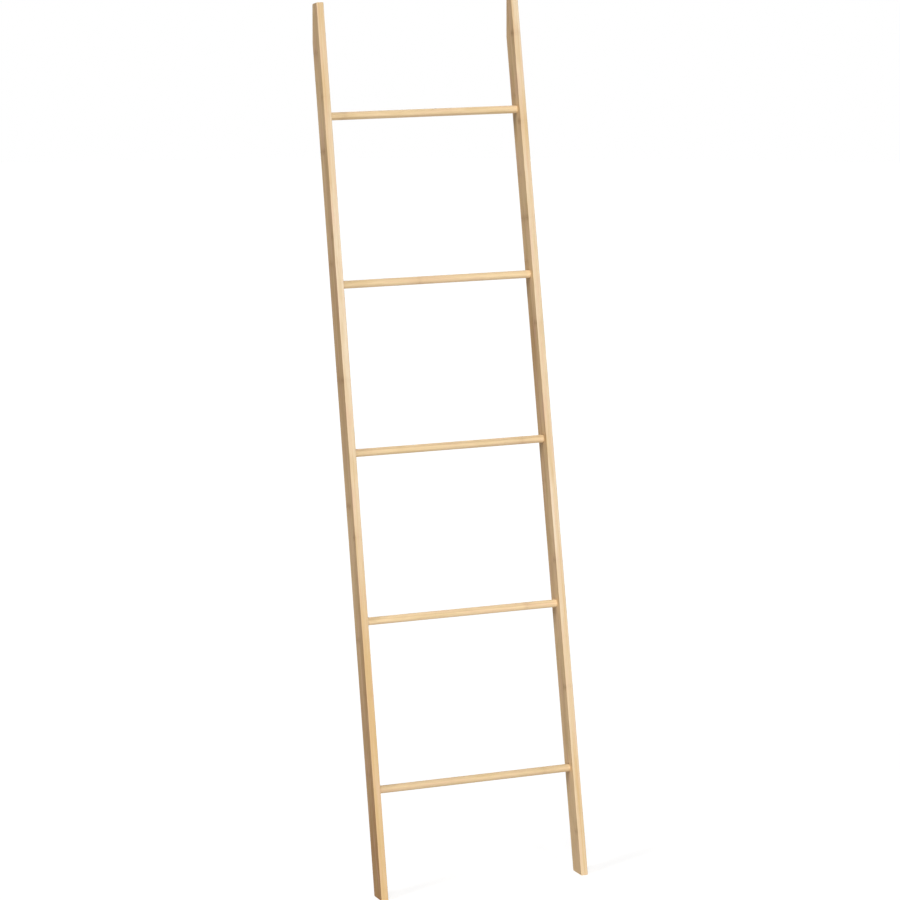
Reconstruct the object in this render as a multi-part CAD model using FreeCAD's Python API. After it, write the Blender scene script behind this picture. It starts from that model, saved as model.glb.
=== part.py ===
import FreeCAD, Part
import math
import os

# A bamboo ladder that leans on a wall: two flat rails on edge and round rungs glued into blind sockets.
# X runs along the rungs, +Y goes back to the wall and +Z up. The origin lies on the floor, midway
# between the rails and midway between the front of the feet and the wall.

# Driving dimensions of the frame, in millimetres, and its lean, in degrees
RAIL_LENGTH = 1800.0
FOOT_WIDTH = 456.0
TOP_WIDTH = 440.5
LEAN_ANGLE = 11.1

# Driving dimensions of a rail
RAIL_THICKNESS = 15.0
RAIL_DEPTH = 39.0
WALL_CUT_LENGTH = 76.0
EDGE_ROUND = 1.2

# Driving dimensions of the rungs and their sockets
RUNG_COUNT = 5
RUNG_DIAMETER = 16.0
FOOT_TO_FIRST_RUNG = 221.0
LAST_RUNG_TO_TOP = 227.0
RUNG_END_CHAMFER = 1.0
SOCKET_DEPTH = 9.0
GLUE_CLEARANCE = 0.1
SOCKET_END_GAP = 0.5

# Worked out from the driving dimensions
LEAN = math.radians(LEAN_ANGLE)
NARROWING = (FOOT_WIDTH - TOP_WIDTH) / 2 / RAIL_LENGTH
SIDE_THICKNESS = RAIL_THICKNESS * math.sqrt(1 + NARROWING ** 2)
RUNG_SETBACK = RAIL_DEPTH / 2
RUNG_PITCH = (RAIL_LENGTH - FOOT_TO_FIRST_RUNG - LAST_RUNG_TO_TOP) / (RUNG_COUNT - 1)
WALL_DISTANCE = (RAIL_LENGTH - WALL_CUT_LENGTH) * math.sin(LEAN) + RAIL_DEPTH * math.cos(LEAN)
FRONT_Y = -WALL_DISTANCE / 2
WALL_Y = WALL_DISTANCE / 2


def on_slope(x, along, behind):
    """A point given by its distance up the slope of the front faces and its distance behind them."""
    y = FRONT_Y + along * math.sin(LEAN) + behind * math.cos(LEAN)
    z = along * math.cos(LEAN) - behind * math.sin(LEAN)
    return FreeCAD.Vector(x, y, z)


def outer_half_width(along):
    """Half the ladder's width over the rails, which draw together towards the top."""
    return FOOT_WIDTH / 2 - NARROWING * along


def inner_half_width(along):
    """Half the clear width between the rails."""
    return outer_half_width(along) - SIDE_THICKNESS


def rung_position(number):
    """Distance up the slope to a rung, counted from the lowest."""
    return FOOT_TO_FIRST_RUNG + (number - 1) * RUNG_PITCH


def prism(corners, direction):
    """A solid drawn out from a flat outline."""
    outline = Part.makePolygon(corners + corners[:1])
    return Part.Face(outline).extrude(direction)


def side_profile():
    """The rail seen from the side, drawn out over the ladder's width: level foot, upright wall cut."""
    x = -FOOT_WIDTH
    foot_back = RAIL_DEPTH * math.tan(LEAN)
    cut_start = RAIL_LENGTH - WALL_CUT_LENGTH
    top_depth = RAIL_DEPTH - WALL_CUT_LENGTH * math.tan(LEAN)
    corners = [
        on_slope(x, 0, 0),
        on_slope(x, foot_back, RAIL_DEPTH),
        on_slope(x, cut_start, RAIL_DEPTH),
        on_slope(x, RAIL_LENGTH, top_depth),
        on_slope(x, RAIL_LENGTH, 0),
    ]
    return prism(corners, FreeCAD.Vector(2 * FOOT_WIDTH, 0, 0))


def side_slab(side):
    """The layer that one rail lies in, narrowing with the ladder. side is -1 on the left, 1 on the right."""
    below = -RAIL_DEPTH
    above = RAIL_LENGTH + RAIL_DEPTH
    in_front = -RAIL_DEPTH
    at_back = 2 * RAIL_DEPTH
    corners = [
        on_slope(side * outer_half_width(below), below, in_front),
        on_slope(side * outer_half_width(above), above, in_front),
        on_slope(side * inner_half_width(above), above, in_front),
        on_slope(side * inner_half_width(below), below, in_front),
    ]
    through = on_slope(0, 0, at_back) - on_slope(0, 0, in_front)
    return prism(corners, through)


def socket_cutter(side, number):
    """A round blind socket in the rail's inner face, a little wider than the rung."""
    along = rung_position(number)
    start = on_slope(0, along, RUNG_SETBACK)
    reach = inner_half_width(along) + SOCKET_DEPTH
    radius = RUNG_DIAMETER / 2 + GLUE_CLEARANCE
    return Part.makeCylinder(radius, reach, start, FreeCAD.Vector(side, 0, 0))


def make_rail(side):
    """One rail with eased edges and its row of sockets."""
    blank = side_profile().common(side_slab(side)).Solids[0]
    rail = blank.makeFillet(EDGE_ROUND, blank.Edges)
    for number in range(1, RUNG_COUNT + 1):
        rail = rail.cut(socket_cutter(side, number))
    return rail.Solids[0]


def make_rung(number):
    """One round rung with chamfered ends, as long as its two sockets allow."""
    along = rung_position(number)
    half_length = inner_half_width(along) + SOCKET_DEPTH - SOCKET_END_GAP
    start = on_slope(-half_length, along, RUNG_SETBACK)
    rung = Part.makeCylinder(RUNG_DIAMETER / 2, 2 * half_length, start, FreeCAD.Vector(1, 0, 0))
    end_edges = [edge for edge in rung.Edges if edge.Closed]
    return rung.makeChamfer(RUNG_END_CHAMFER, end_edges)


def main():
    os.makedirs("parts", exist_ok=True)
    pieces = {"left_rail": make_rail(-1), "right_rail": make_rail(1)}
    for number in range(1, RUNG_COUNT + 1):
        pieces["rung_%d" % number] = make_rung(number)
    for node, solid in pieces.items():
        solid.exportStep("parts/%s.step" % node)


main()
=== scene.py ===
import math
from dataclasses import dataclass

import bmesh
import bpy
from bpy.props import FloatProperty, FloatVectorProperty, IntProperty, PointerProperty
from mathutils import Color, Matrix, Vector


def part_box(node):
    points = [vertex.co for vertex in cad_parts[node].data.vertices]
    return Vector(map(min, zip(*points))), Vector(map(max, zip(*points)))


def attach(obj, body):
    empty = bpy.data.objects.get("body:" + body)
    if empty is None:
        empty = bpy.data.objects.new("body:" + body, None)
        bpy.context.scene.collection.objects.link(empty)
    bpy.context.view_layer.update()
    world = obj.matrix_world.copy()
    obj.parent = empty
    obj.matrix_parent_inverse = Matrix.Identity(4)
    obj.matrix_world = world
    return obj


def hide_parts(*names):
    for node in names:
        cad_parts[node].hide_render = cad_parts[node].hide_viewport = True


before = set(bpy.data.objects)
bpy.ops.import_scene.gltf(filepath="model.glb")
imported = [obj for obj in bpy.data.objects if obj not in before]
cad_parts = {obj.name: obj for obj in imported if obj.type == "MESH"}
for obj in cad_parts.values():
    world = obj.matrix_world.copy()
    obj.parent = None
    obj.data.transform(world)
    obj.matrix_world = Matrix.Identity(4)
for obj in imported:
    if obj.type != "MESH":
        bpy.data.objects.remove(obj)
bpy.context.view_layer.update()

bl_info = {
    "name": "Leaning Ladder",
    "version": (1, 0, 0),
    "blender": (4, 5, 0),
    "location": "View3D > Sidebar > Ladder",
    "description": "Builds a bamboo ladder that leans on a wall, on a plain pale stage",
    "category": "Add Mesh",
}

BODY = "root"
GRAIN = "grain"
BOARD_NUMBER = "board_number"
UP = Vector((0.0, 0.0, 1.0))
SIDEWAYS = Vector((1.0, 0.0, 0.0))
BACKWARDS = Vector((0.0, 1.0, 0.0))
QUARTER_TURN = math.radians(90)
FULL_SCREEN_VALUE = 255


def middle(corners):
    """The middle of a box."""
    return (corners[0] + corners[1]) / 2


def extent(corners):
    """The sizes of a box."""
    return corners[1] - corners[0]


# The lean, the narrowing and the rungs' places, read from the frame
RUNG_NODES = sorted(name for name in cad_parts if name.startswith("rung_"))
LOW_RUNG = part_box(RUNG_NODES[0])
HIGH_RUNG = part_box(RUNG_NODES[-1])
LEFT_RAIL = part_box("left_rail")
CLIMB = middle(HIGH_RUNG) - middle(LOW_RUNG)
LEAN = math.atan2(CLIMB.y, CLIMB.z)
NARROWING = (extent(LOW_RUNG).x - extent(HIGH_RUNG).x) / 2 / CLIMB.length
HALF_FOOT_WIDTH = -LEFT_RAIL[0].x
WALL_Y = LEFT_RAIL[1].y
UP_SLOPE = Vector((0.0, math.sin(LEAN), math.cos(LEAN)))
BEHIND = Vector((0.0, math.cos(LEAN), -math.sin(LEAN)))


def linear(code):
    """A colour of the screen, as six hex digits, in Blender's linear values."""
    shares = [int(code[place:place + 2], 16) / FULL_SCREEN_VALUE for place in (0, 2, 4)]
    return tuple(Color(shares).from_srgb_to_scene_linear())


def colour_property(name, description, code):
    """A colour that the user can change."""
    return FloatVectorProperty(
        name=name, description=description, default=linear(code), subtype="COLOR", min=0.0, max=1.0
    )


def length_property(name, description, default):
    """A length in metres that the user can change."""
    return FloatProperty(
        name=name, description=description, default=default, min=0.0, precision=4, unit="LENGTH"
    )


def angle_property(name, description, degrees):
    """An angle that the user can change."""
    return FloatProperty(
        name=name, description=description, default=math.radians(degrees), subtype="ANGLE"
    )


def strength_property(name, description, default):
    """A light's strength that the user can change."""
    return FloatProperty(name=name, description=description, default=default, min=0.0)


class RailSettings(bpy.types.PropertyGroup):
    """Sizes of a rail"""

    length: length_property("Length", "Length of a rail along its front face", 1.8)
    thickness: length_property("Thickness", "Thickness of a rail, seen from the front", 0.015)
    depth: length_property("Depth", "Depth of a rail, square to its front face", 0.039)
    edge_round: length_property("Edge Round", "Width of the rounding along every edge", 0.0012)
    socket_depth: length_property("Socket Depth", "Depth of the blind sockets for the rungs", 0.009)
    socket_play: length_property("Socket Play", "Room for glue around a rung", 0.0001)


class RungSettings(bpy.types.PropertyGroup):
    """Sizes of a rung"""

    diameter: length_property("Diameter", "Diameter of a rung", round(extent(LOW_RUNG).z, 4))
    end_chamfer: length_property("End Chamfer", "Chamfer on a rung's hidden ends", 0.001)
    sides: IntProperty(name="Sides", description="Faces around a rung", default=64, min=16, max=128)


class BambooSettings(bpy.types.PropertyGroup):
    """Colours and sizes of the bamboo"""

    pale: colour_property("Pale", "Lightest tone of the narrow faces", "f8e4c6")
    honey: colour_property("Honey", "Deepest tone of the narrow faces", "e2be88")
    rung_pale: colour_property("Rung Pale", "Lightest tone of the rungs", "ffe2b4")
    rung_honey: colour_property("Rung Honey", "Deepest tone of the rungs", "d6bb90")
    # The wide faces' tones are the face grain's own colour, made warmer and more saturated than the
    # narrow faces' as painted shade, the look that sides in shade have
    flat_pale_with_shade_warmth: colour_property("Flat Pale", "Lightest tone of the wide faces", "fdddac")
    flat_honey_with_shade_warmth: colour_property("Flat Honey", "Deepest tone of the wide faces", "b88b52")
    gold: colour_property("Gold", "Deep golden tone of the front strips", "b58547")
    rose: colour_property("Rose", "Warm cast of some stretches", "ecc2a5")
    olive: colour_property("Olive", "Green cast of some stretches", "d8ba80")
    fibre: colour_property("Fibre", "Dark fibres", "bb8d58")
    joint: colour_property("Joint", "Bands where the cane had its joints", "96602f")
    ply: length_property("Ply", "Thickness of one layer of strips", 0.005)
    strip: length_property("Strip", "Greatest width of one strip", 0.03)


class StageSettings(bpy.types.PropertyGroup):
    """The floor, the light and the camera"""

    floor: colour_property("Floor", "Colour of the floor", "c8c8c8")
    floor_radius: length_property("Floor Radius", "Radius of the round floor", 14.0)
    floor_lift: strength_property("Floor Lift", "What the floor adds to be white to the eye", 0.69)
    room_light: strength_property("Room Light", "Strength of the light from all around", 0.1)
    key_light: strength_property("Key Light", "Strength of the soft light in front", 1.67)
    key_turn: angle_property("Key Turn", "How far left of the front the key light stands", 0.0)
    key_height: angle_property("Key Height", "Height of the key light above the horizon", 7.0)
    key_softness: angle_property("Key Softness", "Width of the key light, seen from the ladder", 12.0)
    side_light: strength_property("Side Light", "Strength of the high light left of the front", 0.82)
    side_turn: angle_property("Side Turn", "How far left of the front the side light stands", 30.0)
    side_height: angle_property("Side Height", "Height of the side light above the horizon", 46.0)
    side_softness: angle_property("Side Softness", "Width of the side light, seen from the ladder", 20.0)
    left_light: strength_property("Left Light", "Strength of the high light on the left", 0.83)
    left_turn: angle_property("Left Turn", "How far left of the front the left light stands", 76.0)
    left_height: angle_property("Left Height", "Height of the left light above the horizon", 40.0)
    left_softness: angle_property("Left Softness", "Width of the left light, seen from the ladder", 16.0)
    back_light: strength_property("Back Light", "Strength of the soft light behind", 1.05)
    back_turn: angle_property("Back Turn", "How far left of the front the back light stands", -145.0)
    back_height: angle_property("Back Height", "Height of the back light above the horizon", 20.0)
    back_softness: angle_property("Back Softness", "Width of the back light, seen from the ladder", 60.0)
    camera_turn: angle_property("Camera Turn", "How far left of the front the camera stands", 23.31)
    camera_tilt: angle_property("Camera Tilt", "How far the camera looks down", 10.5)
    camera_distance: length_property("Camera Distance", "From the camera to its target", 7.3501)
    lens: FloatProperty(name="Lens", description="Focal length in millimetres", default=146.14, min=1.0)
    target: FloatVectorProperty(
        name="Target",
        description="The point that the camera looks at",
        default=(-0.01663, -0.03911, 0.87698),
        subtype="TRANSLATION",
    )


class LadderSettings(bpy.types.PropertyGroup):
    """All settings of the ladder"""

    rail: PointerProperty(type=RailSettings)
    rung: PointerProperty(type=RungSettings)
    bamboo: PointerProperty(type=BambooSettings)
    stage: PointerProperty(type=StageSettings)


class Wiring:
    """Adds shader nodes to a tree and wires them up."""

    def __init__(self, tree):
        self.tree = tree

    def add(self, kind, **settings):
        """A new node with these settings."""
        node = self.tree.nodes.new(kind)
        for name, value in settings.items():
            setattr(node, name, value)
        return node

    def feed(self, socket, value):
        """Links a socket to another one, or sets its own value."""
        if isinstance(value, bpy.types.NodeSocket):
            self.tree.links.new(value, socket)
        else:
            socket.default_value = value

    def math(self, operation, first, second=0.0):
        """A sum on one or two numbers."""
        node = self.add("ShaderNodeMath", operation=operation)
        self.feed(node.inputs[0], first)
        self.feed(node.inputs[1], second)
        return node.outputs[0]

    def total(self, *values):
        """The sum of several numbers."""
        result = values[0]
        for value in values[1:]:
            result = self.math("ADD", result, value)
        return result

    def around(self, value, reach):
        """A number between 0 and 1, turned to one that swings by half the reach on either side of 0."""
        return self.math("MULTIPLY", self.math("SUBTRACT", value, 0.5), reach)

    def vector(self, x, y, z):
        """Three numbers as a vector."""
        node = self.add("ShaderNodeCombineXYZ")
        for socket, value in zip(node.inputs, (x, y, z)):
            self.feed(socket, value)
        return node.outputs[0]

    def vectors(self, operation, first, second):
        """A sum on two vectors."""
        node = self.add("ShaderNodeVectorMath", operation=operation)
        self.feed(node.inputs[0], first)
        self.feed(node.inputs[1], second)
        return node.outputs["Value" if operation == "DOT_PRODUCT" else "Vector"]

    def parts(self, vector):
        """The three parts of a vector."""
        node = self.add("ShaderNodeSeparateXYZ")
        self.feed(node.inputs[0], vector)
        return node.outputs

    def noise(self, place, per_metre, detail=2.0):
        """Smooth noise around a half, with so many swings per metre across, into and along the grain."""
        node = self.add("ShaderNodeTexNoise", noise_dimensions="3D")
        self.feed(node.inputs["Vector"], self.vectors("MULTIPLY", place, per_metre))
        self.feed(node.inputs["Scale"], 1.0)
        self.feed(node.inputs["Detail"], detail)
        return node.outputs["Fac"]

    def chances(self, x, y, z):
        """Three even chance numbers that belong to three whole numbers."""
        node = self.add("ShaderNodeTexWhiteNoise", noise_dimensions="3D")
        self.feed(node.inputs["Vector"], self.vector(x, y, z))
        return self.parts(node.outputs["Color"])

    def step(self, value, low, high, start=0.0, end=1.0):
        """Goes smoothly from start to end while the value goes from low to high."""
        node = self.add("ShaderNodeMapRange", interpolation_type="SMOOTHSTEP")
        for name, number in zip(("Value", "From Min", "From Max", "To Min", "To Max"),
                                (value, low, high, start, end)):
            self.feed(node.inputs[name], number)
        return node.outputs["Result"]

    def course(self, share, stops):
        """A number that eases from stop to stop; a stop is a share of the way and the number there."""
        node = self.add("ShaderNodeValToRGB")
        ramp = node.color_ramp
        ramp.interpolation = "EASE"
        ramp.elements[1].position = stops[-1][0]
        ramp.elements[0].position = stops[0][0]
        for place, _ in stops[1:-1]:
            ramp.elements.new(place)
        for element, (_, number) in zip(ramp.elements, stops):
            element.color = (number, number, number, 1.0)
        self.feed(node.inputs["Fac"], share)
        return node.outputs["Color"]

    def blend(self, share, first, second):
        """Two colours mixed by a share of the second."""
        node = self.add("ShaderNodeMix", data_type="RGBA", clamp_factor=True)
        sockets = [socket for socket in node.inputs if socket.type == "RGBA"]
        self.feed(node.inputs["Factor"], share)
        for socket, colour in zip(sockets, (first, second)):
            self.feed(socket, colour if isinstance(colour, bpy.types.NodeSocket) else (*colour, 1.0))
        return next(socket for socket in node.outputs if socket.type == "RGBA")


@dataclass
class Board:
    """What the bamboo needs to know of one piece.

    The courses say how far the narrow and the wide faces go towards their deepest tone, at shares of the
    way from the foot to the top. A wide face shows two strips, which meet at a seam behind the front. The
    front one may be deeper or paler than the other, and more golden. Each has its cane's joints, given as
    shares of the way and how clearly they show. A round piece has narrow faces all around.
    """

    width: float
    depth: float
    length: float
    axis: Vector
    edge_course: tuple
    flat_course: tuple = ()
    seam: float = 0.0
    front_tone: float = 0.0
    gold_course: tuple = ()
    front_joints: tuple = ()
    back_joints: tuple = ()

    @property
    def is_round(self):
        """Whether it is a turned piece."""
        return not self.flat_course


# What each rail shows of its own bamboo, with the seams in metres
LEFT_BOARD = {
    "edge_course": ((0.0, 1.2), (0.15, 1.15), (0.32, 0.6), (0.55, 0.4), (0.73, 0.15), (0.92, 0.75)),
    "flat_course": ((0.0, 1.2), (0.15, 0.7), (0.42, 0.15), (0.6, 0.5), (0.92, 0.1)),
    "seam": 0.012,
    "front_tone": 0.03,
    "gold_course": ((0.0, 0.6), (0.25, 0.25), (0.6, 0.1)),
    "front_joints": ((0.06, 0.2), (0.23, 0.25), (0.405, 0.5), (0.58, 0.5), (0.74, 0.3), (0.895, 0.3)),
    "back_joints": (
        (0.14, 0.25), (0.29, 0.35), (0.44, 0.45), (0.58, 0.3), (0.71, 0.35), (0.835, 0.5), (0.945, 0.3)
    ),
}
RIGHT_BOARD = {
    "edge_course": (
        (0.0, 0.6), (0.3, 0.6), (0.42, 0.15), (0.5, 0.55), (0.78, 0.2), (0.85, 0.6), (0.92, 0.35)
    ),
    "flat_course": ((0.0, 0.05), (0.42, 0.25), (0.5, 0.45), (0.62, 0.5), (0.77, 0.05), (0.92, 0.35)),
    "seam": 0.016,
    "front_tone": -0.2,
    "gold_course": ((0.0, 0.0), (1.0, 0.05)),
    "front_joints": (
        (0.05, 0.25), (0.215, 0.4), (0.36, 0.35), (0.5, 0.2),
        (0.63, 0.4), (0.75, 0.4), (0.86, 0.6), (0.96, 0.6)
    ),
    "back_joints": ((0.3, 0.15), (0.45, 0.15), (0.7, 0.25), (0.75, 0.3), (0.8, 0.15), (0.89, 0.25)),
}

# How deep the rungs' tone is, from the lowest to the highest
RUNG_TONES = (0.45, 0.15, 0.38, 0.4, 0.25)

# Swings of the patterns per metre: across the plies, into the depth and along the grain
BROAD_STREAKS = (260.0, 260.0, 3.0)
FINE_FIBRES = (1300.0, 1300.0, 20.0)
FLECKS = (2400.0, 2400.0, 60.0)
CLOUDS = (40.0, 40.0, 5.0)
CASTS = (110.0, 110.0, 12.0)
WAVERS = (90.0, 90.0, 0.0)

# How far apart the boards lie in the patterns, in metres for each step of the board's number
BOARD_SPREAD = (0.0, 3.0, 5.0)

# How far the tone swings with the clouds and the streaks, what part of that the rungs have, and how far
# it swings from strip to strip
CLOUD_SWAY = 1.0
STREAK_SWAY = 1.2
RUNG_CALM = 0.6
STRIP_SWAY = 0.25

# Widths in metres: of glue lines, of the blur at a seam and at a corner, of a rubbed arris where it is
# full and where it ends, of how far a joint wavers, and of its ring, band and shade
GLUE_LINE = 0.0002
SEAM_BLUR = 0.0005
CORNER_BLUR = 0.0005
ARRIS_CORE = 0.0004
ARRIS_REACH = 0.002
JOINT_WAVER = 0.014
JOINT_RING = 0.002
JOINT_BAND = 0.010
JOINT_SHADE = 0.035

# Shares: of a strip's width from its middle to its edge, and of a joint's reach that is at full strength
STRIP_EDGE = 0.5
JOINT_CORE = 0.2

# How clearly the joints and the casts show, on narrow and on wide faces
JOINT_CLEARNESS = (0.1, 0.7)
CAST_CLEARNESS = (0.3, 0.45)

# Where in their noise the casts, fibres and flecks start and are full, and how squarely a face has to
# cross the grain to show end grain
CAST_MIDDLE = 0.5
CAST_SPREAD = 0.22
FIBRE_RANGE = (0.5, 0.8)
FLECK_RANGE = (0.62, 0.72)
END_RANGE = (0.6, 0.95)

# How strongly each mark tints the ground
FIBRE_TINT = 0.3
FLECK_TINT = 0.3
SHADE_TINT = 0.35
BAND_TINT = 0.75
RING_TINT = 0.5
GLUE_TINT = 0.2
END_TINT = 0.35
ARRIS_TINT = 0.15

# How far each mark rises, as a share of the relief's height, which is in metres
FIBRE_RISE = 0.4
FLECK_RISE = -0.35
JOINT_RISE = 0.5
GLUE_RISE = -0.4
RELIEF_HEIGHT = 0.0002
RELIEF_STRENGTH = 0.35

# The lacquer: where in the fibres' noise it grows rough, from what to what, and how strongly it reflects
ROUGH_RANGE = (0.3, 0.75)
ROUGHNESS = (0.46, 0.62)
REFLECTION = 0.25


@dataclass
class Patterns:
    """The patterns that the colour, the gloss and the relief of a piece share."""

    grain: bpy.types.NodeSocket
    way: bpy.types.NodeSocket
    chance: bpy.types.NodeSocket
    glue: bpy.types.NodeSocket
    ring: bpy.types.NodeSocket
    band: bpy.types.NodeSocket
    shade: bpy.types.NodeSocket
    fibres: bpy.types.NodeSocket
    flecks: bpy.types.NodeSocket
    sway: bpy.types.NodeSocket
    cast: bpy.types.NodeSocket


def strip_pattern(wiring, bamboo, board, grain, number):
    """Strips in plies: a chance number for each strip, and the glue lines between them."""
    across, into, _ = wiring.parts(grain)
    ply_place = wiring.math("DIVIDE", across, bamboo.ply)
    strip_place = wiring.math("DIVIDE", wiring.math("SUBTRACT", into, board.seam), bamboo.strip)
    glue = 0.0
    for place, size in ((ply_place, bamboo.ply), (strip_place, bamboo.strip)):
        off_middle = wiring.math("ABSOLUTE", wiring.around(wiring.math("FRACT", place), 1.0))
        line = wiring.step(off_middle, STRIP_EDGE - GLUE_LINE / size, STRIP_EDGE)
        glue = wiring.math("MAXIMUM", glue, line)
    ply = wiring.math("FLOOR", ply_place)
    strip = wiring.math("FLOOR", strip_place)
    return wiring.chances(ply, strip, number)[0], glue


def by_strip(wiring, board, grain, front, back):
    """One value on the front strip of a wide face and another on the strip behind it."""
    into = wiring.parts(grain)[1]
    return wiring.step(into, board.seam - SEAM_BLUR, board.seam + SEAM_BLUR, front, back)


def joint_bands(wiring, way, joints, reach):
    """Bands across a strip at its joints, with their reach as a share of the way, like the places."""
    bands = 0.0
    for spot, clearness in joints:
        distance = wiring.math("ABSOLUTE", wiring.math("SUBTRACT", way, spot))
        band = wiring.step(distance, reach * JOINT_CORE, reach, clearness, 0.0)
        bands = wiring.math("MAXIMUM", bands, band)
    return bands


def joint_pattern(wiring, board, grain, place, number, width):
    """The joints of both strips, as wavering bands. A round piece has one joint, somewhere along it."""
    waver = wiring.around(wiring.noise(place, WAVERS, detail=1.0), JOINT_WAVER)
    along = wiring.parts(grain)[2]
    way = wiring.math("DIVIDE", wiring.math("ADD", along, waver), board.length)
    reach = width / board.length
    if board.is_round:
        spot = wiring.chances(number, number, number)[0]
        return joint_bands(wiring, way, ((spot, 1.0),), reach)
    front = joint_bands(wiring, way, board.front_joints, reach)
    back = joint_bands(wiring, way, board.back_joints, reach)
    return by_strip(wiring, board, grain, front, back)


def bamboo_patterns(wiring, bamboo, board):
    """Strips and joints, fibres and flecks, and slow changes of tone, in the piece's own grain."""
    grain = wiring.add("ShaderNodeAttribute", attribute_name=GRAIN).outputs["Vector"]
    number = wiring.add("ShaderNodeAttribute", attribute_name=BOARD_NUMBER).outputs["Fac"]
    apart = wiring.vector(*(wiring.math("MULTIPLY", number, metres) for metres in BOARD_SPREAD))
    place = wiring.vectors("ADD", grain, apart)
    chance, glue = strip_pattern(wiring, bamboo, board, grain, number)
    clouds = wiring.noise(place, CLOUDS, detail=1.0)
    streaks = wiring.noise(place, BROAD_STREAKS)
    calm = RUNG_CALM if board.is_round else 1.0
    return Patterns(
        grain=grain,
        way=wiring.math("DIVIDE", wiring.parts(grain)[2], board.length),
        chance=chance,
        glue=glue,
        ring=joint_pattern(wiring, board, grain, place, number, JOINT_RING),
        band=joint_pattern(wiring, board, grain, place, number, JOINT_BAND),
        shade=joint_pattern(wiring, board, grain, place, number, JOINT_SHADE),
        fibres=wiring.noise(place, FINE_FIBRES),
        flecks=wiring.noise(place, FLECKS, detail=1.0),
        sway=wiring.total(
            wiring.around(clouds, CLOUD_SWAY * calm), wiring.around(streaks, STREAK_SWAY * calm)
        ),
        cast=wiring.noise(place, CASTS, detail=1.0),
    )


def face_pattern(wiring, board, grain):
    """On a squared board: the share of the wide faces, and the rubbed arrises."""
    across, into, _ = wiring.parts(grain)
    from_side = wiring.math("MINIMUM", across, wiring.math("SUBTRACT", board.width, across))
    from_front = wiring.math("MINIMUM", into, wiring.math("SUBTRACT", board.depth, into))
    flat = wiring.step(wiring.math("SUBTRACT", from_front, from_side), -CORNER_BLUR, CORNER_BLUR)
    from_arris = wiring.math("MAXIMUM", from_side, from_front)
    return flat, wiring.step(from_arris, ARRIS_CORE, ARRIS_REACH, 1.0, 0.0)


def bamboo_ground(wiring, bamboo, board, patterns):
    """The tone of the strips, which follows the courses, and the share of the wide faces."""
    strip_sway = wiring.around(patterns.chance, STRIP_SWAY)
    edge_depth = wiring.total(wiring.course(patterns.way, board.edge_course), patterns.sway, strip_sway)
    if board.is_round:
        return wiring.blend(edge_depth, bamboo.rung_pale, bamboo.rung_honey), 0.0
    colour = wiring.blend(edge_depth, bamboo.pale, bamboo.honey)
    flat, arris = face_pattern(wiring, board, patterns.grain)
    front = by_strip(wiring, board, patterns.grain, 1.0, 0.0)
    front_tone = wiring.math("MULTIPLY", front, board.front_tone)
    flat_depth = wiring.total(wiring.course(patterns.way, board.flat_course), patterns.sway, front_tone)
    # The wide faces' colour: their own grain, warmed and saturated as painted shade
    flat_colour = wiring.blend(flat_depth, bamboo.flat_pale_with_shade_warmth, bamboo.flat_honey_with_shade_warmth)
    gold = wiring.math("MULTIPLY", front, wiring.course(patterns.way, board.gold_course))
    flat_colour = wiring.blend(gold, flat_colour, bamboo.gold)
    colour = wiring.blend(flat, colour, flat_colour)
    colour = wiring.blend(wiring.math("MULTIPLY", arris, ARRIS_TINT), colour, bamboo.pale)
    return colour, flat


def bamboo_colour(wiring, bamboo, board, patterns):
    """The strips' tone with warm and green casts, fibres, joints, glue lines and end grain on it."""
    colour, flat = bamboo_ground(wiring, bamboo, board, patterns)
    normal = wiring.add("ShaderNodeTexCoord").outputs["Normal"]
    end = wiring.math("ABSOLUTE", wiring.vectors("DOT_PRODUCT", normal, board.axis))
    joint_clearness = wiring.step(flat, 0.0, 1.0, *JOINT_CLEARNESS)
    ring, band, shade = (
        wiring.math("MULTIPLY", pattern, joint_clearness)
        for pattern in (patterns.ring, patterns.band, patterns.shade)
    )
    cast_clearness = wiring.step(flat, 0.0, 1.0, *CAST_CLEARNESS)
    warm = wiring.step(patterns.cast, CAST_MIDDLE, CAST_MIDDLE + CAST_SPREAD)
    green = wiring.step(patterns.cast, CAST_MIDDLE, CAST_MIDDLE - CAST_SPREAD)
    layers = (
        (wiring.math("MULTIPLY", warm, cast_clearness), bamboo.rose),
        (wiring.math("MULTIPLY", green, cast_clearness), bamboo.olive),
        (wiring.step(patterns.fibres, *FIBRE_RANGE, 0.0, FIBRE_TINT), bamboo.fibre),
        (wiring.step(patterns.flecks, *FLECK_RANGE, 0.0, FLECK_TINT), bamboo.fibre),
        (wiring.math("MULTIPLY", shade, SHADE_TINT), bamboo.joint),
        (wiring.math("MULTIPLY", band, BAND_TINT), bamboo.joint),
        (wiring.math("MULTIPLY", ring, RING_TINT), bamboo.joint),
        (wiring.math("MULTIPLY", patterns.glue, GLUE_TINT), bamboo.joint),
        (wiring.step(end, *END_RANGE, 0.0, END_TINT), bamboo.fibre),
    )
    for share, tint in layers:
        colour = wiring.blend(share, colour, tint)
    return colour


def bamboo_relief(wiring, patterns):
    """Raised fibres, open flecks, a slight rise at the joints and sunk glue lines."""
    height = wiring.total(
        wiring.math("MULTIPLY", patterns.fibres, FIBRE_RISE),
        wiring.step(patterns.flecks, *FLECK_RANGE, 0.0, FLECK_RISE),
        wiring.math("MULTIPLY", patterns.band, JOINT_RISE),
        wiring.math("MULTIPLY", patterns.glue, GLUE_RISE),
    )
    bump = wiring.add("ShaderNodeBump")
    wiring.feed(bump.inputs["Strength"], RELIEF_STRENGTH)
    wiring.feed(bump.inputs["Distance"], RELIEF_HEIGHT)
    wiring.feed(bump.inputs["Height"], height)
    return bump.outputs["Normal"]


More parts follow.
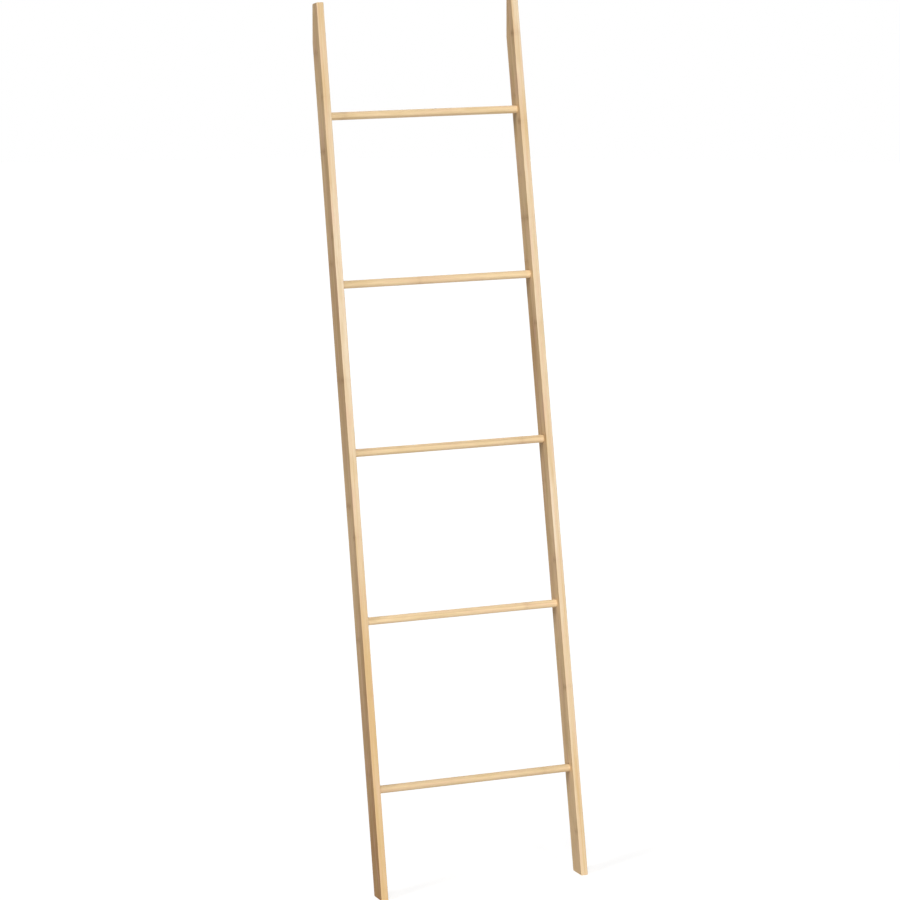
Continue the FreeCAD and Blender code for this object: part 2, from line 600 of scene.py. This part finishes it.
def bamboo_material(name, bamboo, board):
    """Laminated bamboo under a satin clear lacquer, rougher along the fibres than between them."""
    material = bpy.data.materials.new(name)
    material.use_nodes = True
    tree = material.node_tree
    wiring = Wiring(tree)
    shader = tree.nodes["Principled BSDF"]
    patterns = bamboo_patterns(wiring, bamboo, board)
    wiring.feed(shader.inputs["Base Color"], bamboo_colour(wiring, bamboo, board, patterns))
    wiring.feed(shader.inputs["Roughness"], wiring.step(patterns.fibres, *ROUGH_RANGE, *ROUGHNESS))
    wiring.feed(shader.inputs["Normal"], bamboo_relief(wiring, patterns))
    wiring.feed(shader.inputs["Specular IOR Level"], REFLECTION)
    return material


# Segments of a rounded edge and of a chamfer
ROUND_SEGMENTS = 3
CHAMFER_SEGMENTS = 1

# Cosines to a direction: above the first a face looks that way, and below the second it runs along it
LOOKS_ALONG = 0.999
RUNS_ALONG = 0.1

# The patch that a socket is drilled in: its half height and its rim in radii of the socket, and its sides
PATCH_HALF_HEIGHT = 2.0
PATCH_RIM = 0.25
PATCH_SIDES = 4

# The rails are boards number -1 and 1, and each rung is turned on from the one before
FIRST_RUNG_NUMBER = 2
RUNG_TURN = math.radians(100)


def all_of(mesh):
    """Everything in a mesh, as the cutting operators want it."""
    return mesh.verts[:] + mesh.edges[:] + mesh.faces[:]


def mark_grain(mesh, number, turn=0.0, corner=Vector()):
    """Keeps each point's place in its own board, from a corner, before the board joins the ladder."""
    grain = mesh.verts.layers.float_vector.new(GRAIN)
    board_number = mesh.verts.layers.float.new(BOARD_NUMBER)
    spin = Matrix.Rotation(turn, 3, "Z")
    for vertex in mesh.verts:
        vertex[grain] = spin @ vertex.co - corner
        vertex[board_number] = number


def finished_piece(mesh, name, node, material):
    """Makes a mesh a piece of the ladder that stands for a node of the frame."""
    bmesh.ops.recalc_face_normals(mesh, faces=mesh.faces[:])
    data = bpy.data.meshes.new(name)
    mesh.to_mesh(data)
    mesh.free()
    data.materials.append(material)
    piece = bpy.data.objects.new(name, data)
    bpy.context.scene.collection.objects.link(piece)
    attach(piece, BODY)
    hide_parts(node)


def saw(board, point, direction):
    """Cuts off what lies beyond a plane and closes the cut."""
    cut = bmesh.ops.bisect_plane(
        board, geom=all_of(board), plane_co=point, plane_no=direction, clear_outer=True
    )
    rim = [item for item in cut["geom_cut"] if isinstance(item, bmesh.types.BMEdge)]
    bmesh.ops.edgeloop_fill(board, edges=rim)


def ease(mesh, edges, width, segments):
    """Rounds edges, or chamfers them with one segment, and gives the new faces."""
    return bmesh.ops.bevel(
        mesh, geom=edges, offset=width, segments=segments, profile=0.5, affect="EDGES", material=-1
    )["faces"]


def draw_out(mesh, face, vector):
    """Draws a face out to a solid."""
    drawn = bmesh.ops.extrude_face_region(mesh, geom=[face])["geom"]
    far_end = [item for item in drawn if isinstance(item, bmesh.types.BMVert)]
    bmesh.ops.translate(mesh, verts=far_end, vec=vector)
    bmesh.ops.recalc_face_normals(mesh, faces=mesh.faces[:])


def drill_socket(board, mouth_middle, depth, radius, sides):
    """Opens a blind round socket in a rail's inner face."""
    for side in (-1, 1):
        point = mouth_middle + UP * side * PATCH_HALF_HEIGHT * radius
        bmesh.ops.bisect_plane(board, geom=all_of(board), plane_co=point, plane_no=UP)
    patch = min(
        (face for face in board.faces if abs(face.normal.dot(SIDEWAYS)) > LOOKS_ALONG),
        key=lambda face: (face.calc_center_median() - mouth_middle).length,
    )
    bmesh.ops.inset_region(board, faces=[patch], thickness=radius * PATCH_RIM, use_even_offset=True)
    rim = patch.edges[:]
    bmesh.ops.delete(board, geom=[patch], context="FACES_ONLY")
    bmesh.ops.subdivide_edges(board, edges=rim, cuts=sides // PATCH_SIDES - 1)
    rim = [edge for edge in board.edges if edge.is_boundary]
    place = Matrix.Translation(mouth_middle) @ Matrix.Rotation(QUARTER_TURN, 4, "Y")
    bmesh.ops.create_circle(board, cap_ends=False, segments=sides, radius=radius, matrix=place)
    mouth = [edge for edge in board.edges if edge.is_wire]
    bmesh.ops.bridge_loops(board, edges=rim + mouth)
    wall = bmesh.ops.extrude_edge_only(board, edges=mouth)["geom"]
    bottom = [item for item in wall if isinstance(item, bmesh.types.BMVert)]
    bmesh.ops.translate(board, verts=bottom, vec=SIDEWAYS * depth)
    bmesh.ops.edgeloop_fill(board, edges=[edge for edge in board.edges if edge.is_boundary])


def front_foot(depth):
    """Where the front faces' line meets the floor, worked out from the lowest rung at mid-depth."""
    before_rung = middle(LOW_RUNG) - BEHIND * depth / 2
    return Vector((0.0, before_rung.y - before_rung.z * math.tan(LEAN), 0.0))


def rail_place(side, rail):
    """From a rail's own straight frame, across, into and along it, to its place in the ladder."""
    foot_x = -HALF_FOOT_WIDTH if side < 0 else HALF_FOOT_WIDTH - rail.thickness
    along = (UP_SLOPE - SIDEWAYS * side * NARROWING).normalized()
    turn = Matrix((BEHIND.cross(along), BEHIND, along)).transposed().to_4x4()
    return Matrix.Translation(front_foot(rail.depth) + SIDEWAYS * foot_x) @ turn


def build_rail(side, rail, rung):
    """One rail: a board sawn to the floor, the wall and the top, eased and drilled for the rungs."""
    place = rail_place(side, rail)
    back = place.inverted()
    turn_back = back.to_3x3()
    board = bmesh.new()
    spare = rail.depth
    corners = [(0, 0), (rail.thickness, 0), (rail.thickness, rail.depth), (0, rail.depth)]
    section = board.faces.new([board.verts.new((x, y, -spare)) for x, y in corners])
    draw_out(board, section, UP * (rail.length + 2 * spare))
    top = front_foot(rail.depth) + UP_SLOPE * rail.length
    for point, direction in ((Vector(), -UP), (BACKWARDS * WALL_Y, BACKWARDS), (top, UP_SLOPE)):
        saw(board, back @ point, turn_back @ direction)
    for face in ease(board, board.edges[:], rail.edge_round, ROUND_SEGMENTS):
        face.smooth = True
    radius = rung.diameter / 2 + rail.socket_play
    for node in RUNG_NODES:
        mouth_middle = back @ middle(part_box(node))
        mouth_middle.x = rail.thickness if side < 0 else 0.0
        drill_socket(board, mouth_middle, side * rail.socket_depth, radius, rung.sides)
    mark_grain(board, side)
    board.transform(place)
    return board


def build_rung(node, number, rung):
    """One rung: a dowel with chamfered ends, each turned its own way about its axis."""
    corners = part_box(node)
    radius = rung.diameter / 2
    dowel = bmesh.new()
    bmesh.ops.create_circle(dowel, cap_ends=True, segments=rung.sides, radius=radius)
    draw_out(dowel, next(iter(dowel.faces)), UP * extent(corners).x)
    ends = [face for face in dowel.faces if abs(face.normal.z) > LOOKS_ALONG]
    ease(dowel, [edge for face in ends for edge in face.edges], rung.end_chamfer, CHAMFER_SEGMENTS)
    dowel.normal_update()
    for face in dowel.faces:
        face.smooth = abs(face.normal.z) < RUNS_ALONG
    for edge in dowel.edges:
        edge.smooth = all(face.smooth for face in edge.link_faces)
    mark_grain(dowel, number, number * RUNG_TURN, Vector((-radius, -radius, 0.0)))
    place = Matrix.Translation((corners[0].x, middle(corners).y, middle(corners).z))
    dowel.transform(place @ Matrix.Rotation(QUARTER_TURN, 4, "Y"))
    return dowel


class LADDER_OT_make_rails(bpy.types.Operator):
    """Builds the two rails"""

    bl_idname = "ladder.make_rails"
    bl_label = "Make Rails"

    def execute(self, context):
        ladder = context.scene.ladder
        rail = ladder.rail
        for side, node, look in ((-1, "left_rail", LEFT_BOARD), (1, "right_rail", RIGHT_BOARD)):
            board = Board(rail.thickness, rail.depth, rail.length, UP_SLOPE, **look)
            material = bamboo_material("bamboo_" + node, ladder.bamboo, board)
            mesh = build_rail(side, rail, ladder.rung)
            finished_piece(mesh, node + "_board", node, material)
        return {"FINISHED"}


class LADDER_OT_make_rungs(bpy.types.Operator):
    """Builds the rungs"""

    bl_idname = "ladder.make_rungs"
    bl_label = "Make Rungs"

    def execute(self, context):
        ladder = context.scene.ladder
        diameter = ladder.rung.diameter
        for number, (node, tone) in enumerate(zip(RUNG_NODES, RUNG_TONES), start=FIRST_RUNG_NUMBER):
            length = extent(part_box(node)).x
            board = Board(diameter, diameter, length, SIDEWAYS, ((0.0, tone), (1.0, tone)))
            material = bamboo_material("bamboo_" + node, ladder.bamboo, board)
            mesh = build_rung(node, number, ladder.rung)
            finished_piece(mesh, node + "_dowel", node, material)
        return {"FINISHED"}


# Sides of the round floor, and how far the camera sees, in radii of the floor
FLOOR_SIDES = 96
SIGHT = 4.0


def seen_share(wiring):
    """1 for the rays that see the ground itself: from the camera, in a reflection or through glass."""
    path = wiring.add("ShaderNodeLightPath")
    either = wiring.math("MAXIMUM", path.outputs["Is Camera Ray"], path.outputs["Is Glossy Ray"])
    return wiring.math("MAXIMUM", either, path.outputs["Is Transmission Ray"])


def floor_material(colour, lift):
    """A pale floor that is white to the eye where no shadow falls."""
    material = bpy.data.materials.new("pale_floor")
    material.use_nodes = True
    tree = material.node_tree
    tree.nodes.clear()
    wiring = Wiring(tree)
    output = wiring.add("ShaderNodeOutputMaterial")
    matt = wiring.add("ShaderNodeBsdfDiffuse")
    matt.inputs["Color"].default_value = (*colour, 1.0)
    glow = wiring.add("ShaderNodeEmission")
    wiring.feed(glow.inputs["Strength"], wiring.math("MULTIPLY", seen_share(wiring), lift))
    both = wiring.add("ShaderNodeAddShader")
    wiring.feed(both.inputs[0], matt.outputs[0])
    wiring.feed(both.inputs[1], glow.outputs[0])
    wiring.feed(output.inputs["Surface"], both.outputs[0])
    return material


def lay_floor(scene, stage):
    """The round floor under the ladder."""
    disc = bmesh.new()
    bmesh.ops.create_circle(disc, cap_ends=True, segments=FLOOR_SIDES, radius=stage.floor_radius)
    data = bpy.data.meshes.new("floor")
    disc.to_mesh(data)
    disc.free()
    data.materials.append(floor_material(stage.floor, stage.floor_lift))
    floor = bpy.data.objects.new("floor", data)
    scene.collection.objects.link(floor)


def light_room(world, strength):
    """Even light from all around, with white behind the ladder."""
    world.use_nodes = True
    tree = world.node_tree
    tree.nodes.clear()
    wiring = Wiring(tree)
    output = wiring.add("ShaderNodeOutputWorld")
    background = wiring.add("ShaderNodeBackground")
    background.inputs["Color"].default_value = (1.0, 1.0, 1.0, 1.0)
    share = seen_share(wiring)
    rest = wiring.math("MULTIPLY", wiring.math("SUBTRACT", 1.0, share), strength)
    wiring.feed(background.inputs["Strength"], wiring.math("ADD", share, rest))
    wiring.feed(output.inputs["Surface"], background.outputs[0])


def towards(turn, height):
    """The direction to something that stands left of the ladder's front and above the horizon."""
    level = math.cos(height)
    return Vector((-math.sin(turn) * level, -math.cos(turn) * level, math.sin(height)))


def add_facing(name, data, direction):
    """Adds a lamp or a camera that looks back from a direction."""
    thing = bpy.data.objects.new(name, data)
    thing.rotation_mode = "QUATERNION"
    thing.rotation_quaternion = direction.to_track_quat("Z", "Y")
    bpy.context.scene.collection.objects.link(thing)
    return thing


def add_lamp(name, strength, turn, height, softness):
    """A soft light that is as strong at the foot as at the top."""
    lamp = bpy.data.lights.new(name, "SUN")
    lamp.energy = strength
    lamp.angle = softness
    add_facing(name, lamp, towards(turn, height))


def set_camera(scene, stage):
    """The camera that looks at the ladder from the front, the left and a little above."""
    lens = bpy.data.cameras.new("camera")
    lens.lens = stage.lens
    lens.clip_end = SIGHT * stage.floor_radius
    away = towards(stage.camera_turn, stage.camera_tilt)
    scene.camera = add_facing("camera", lens, away)
    scene.camera.location = Vector(stage.target) + away * stage.camera_distance


class LADDER_OT_make_stage(bpy.types.Operator):
    """Builds the floor, the light and the camera"""

    bl_idname = "ladder.make_stage"
    bl_label = "Make Stage"

    def execute(self, context):
        scene = context.scene
        stage = scene.ladder.stage
        scene.view_settings.view_transform = "Standard"
        lay_floor(scene, stage)
        if scene.world is None:
            scene.world = bpy.data.worlds.new("room")
        light_room(scene.world, stage.room_light)
        add_lamp("key_light", stage.key_light, stage.key_turn, stage.key_height, stage.key_softness)
        add_lamp("side_light", stage.side_light, stage.side_turn, stage.side_height, stage.side_softness)
        add_lamp("left_light", stage.left_light, stage.left_turn, stage.left_height, stage.left_softness)
        add_lamp("back_light", stage.back_light, stage.back_turn, stage.back_height, stage.back_softness)
        set_camera(scene, stage)
        return {"FINISHED"}


class VIEW3D_PT_ladder(bpy.types.Panel):
    """The ladder's settings and steps"""

    bl_label = "Leaning Ladder"
    bl_space_type = "VIEW_3D"
    bl_region_type = "UI"
    bl_category = "Ladder"

    def draw(self, context):
        ladder = context.scene.ladder
        for operator in OPERATORS:
            self.layout.operator(operator.bl_idname)
        for group in (ladder.rail, ladder.rung, ladder.bamboo, ladder.stage):
            column = self.layout.column(align=True)
            for name in group.__annotations__:
                column.prop(group, name)


SETTINGS = (RailSettings, RungSettings, BambooSettings, StageSettings, LadderSettings)
OPERATORS = (LADDER_OT_make_rails, LADDER_OT_make_rungs, LADDER_OT_make_stage)
CLASSES = SETTINGS + OPERATORS + (VIEW3D_PT_ladder,)


def register():
    """Adds the ladder's settings, steps and panel to Blender."""
    for kind in CLASSES:
        bpy.utils.register_class(kind)
    bpy.types.Scene.ladder = PointerProperty(type=LadderSettings)


def unregister():
    """Takes them out again."""
    del bpy.types.Scene.ladder
    for kind in reversed(CLASSES):
        bpy.utils.unregister_class(kind)


def main():
    """Builds the ladder and its stage."""
    register()
    bpy.ops.ladder.make_rails()
    bpy.ops.ladder.make_rungs()
    bpy.ops.ladder.make_stage()


if __name__ == "__main__":
    main()
